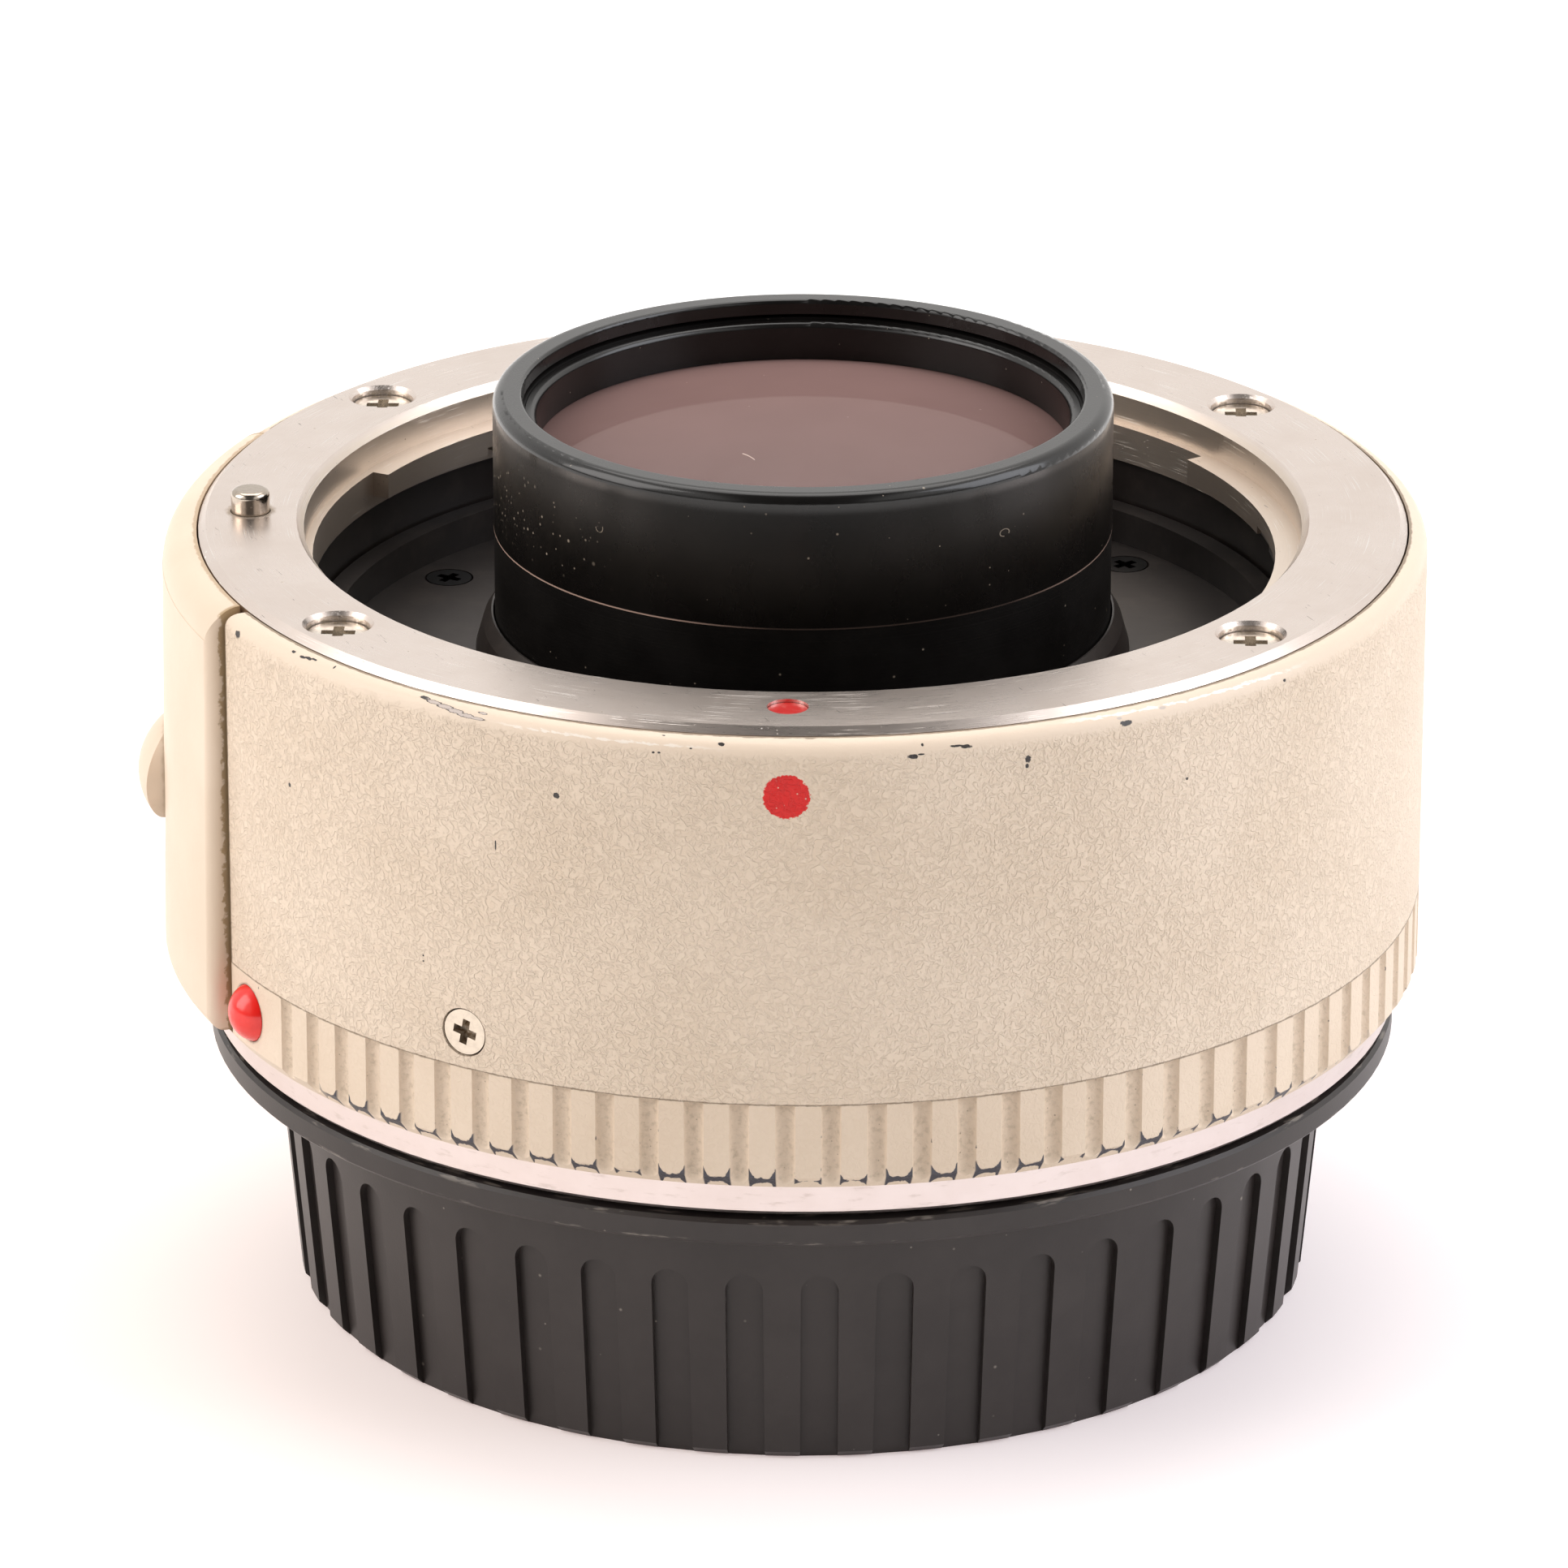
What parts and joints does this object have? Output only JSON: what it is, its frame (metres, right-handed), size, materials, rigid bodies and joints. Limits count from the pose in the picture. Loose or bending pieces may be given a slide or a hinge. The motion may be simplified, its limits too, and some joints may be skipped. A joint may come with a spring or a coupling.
{
  "type": "camera teleconverter",
  "caption": "Short cream teleconverter with a bayonet mount at each end, lenses in a projecting black barrel, a sliding lock release and a fluted twist-on rear cap.",
  "frame": {"origin": "centre of the rear cap's flat end face, on which the converter stands", "axes": "+Z along the optical axis out of the front lens; the mounting dot is at -Y; +X completes a right-handed frame, so the release lever is at -X"},
  "size_m": [0.0701, 0.0676, 0.0504],
  "materials": {
    "cream_paint": "fine crinkle paint, chipped at the rim and dirty in the grooves",
    "mount_steel": "turned and satin plated, with scratches",
    "screw_steel": "bright plated",
    "black_metal": "matt black anodised look",
    "black_screws": "blackened",
    "black_plastic": "moulded, fine grain, scratched",
    "red_enamel": "glossy red",
    "lens_glass": "coated, polished",
    "contact_brass": "gold plated",
    "flex_film": "amber film",
    "board": "green lacquer",
    "spring_steel": "drawn wire and strip"
  },
  "bodies": {
    "converter": {"outer_shell": "cream_paint", "grip_ring": "cream_paint", "index_dome": "red_enamel", "shell_screws": "screw_steel", "release_cover": "cream_paint", "lock_spring": "spring_steel", "front_mount": "mount_steel", "front_mount_screws": "screw_steel", "leaf_springs": "spring_steel", "mounting_dot": "red_enamel", "main_frame": "black_metal", "throat_floor": "black_metal", "floor_screws": "black_screws", "lens_barrel": "black_metal", "barrel_screws": "black_screws", "front_hood": "black_metal", "front_retaining_ring": "black_metal", "front_lens": "lens_glass", "front_spacer": "black_metal", "pair_front_lens": "lens_glass", "pair_rear_lens": "lens_glass", "inner_lens": "lens_glass", "rear_spacer": "black_metal", "rear_lens": "lens_glass", "rear_retaining_ring": "black_metal", "front_contact_block": "black_plastic", "contact_springs": "spring_steel", "contact_flex": "flex_film", "circuit_board": "board", "board_screws": "screw_steel", "rear_mount": "mount_steel", "rear_mount_screws": "screw_steel", "rear_mask": "black_metal", "rear_contact_block": "black_plastic", "rear_contact_pads": "contact_brass"},
    "lever": {"release_lever": "cream_paint", "lever_carriage": "mount_steel", "lock_pin": "screw_steel"},
    "contacts": {"contact_pins": "contact_brass"},
    "cap": {"rear_cap": "black_plastic"}
  },
  "joints": [
    {"name": "lever_slide", "type": "slide", "parent": "converter", "child": "lever", "axis": [0, 0, -1], "range_m": [0, 0.0018], "stiffness_N_per_m": 300, "springref_m": -0.002, "deforming": ["lock_spring"]},
    {"name": "contact_press", "type": "slide", "parent": "converter", "child": "contacts", "axis": [0, 0, -1], "range_m": [0, 0.0007], "stiffness_N_per_m": 400, "springref_m": -0.0008, "deforming": ["contact_springs"]},
    {"name": "cap_twist", "type": "hinge", "parent": "converter", "child": "cap", "pos_m": [0, 0, 0.014], "axis": [0, 0, -1], "range_deg": [0, 60]}
  ]
}
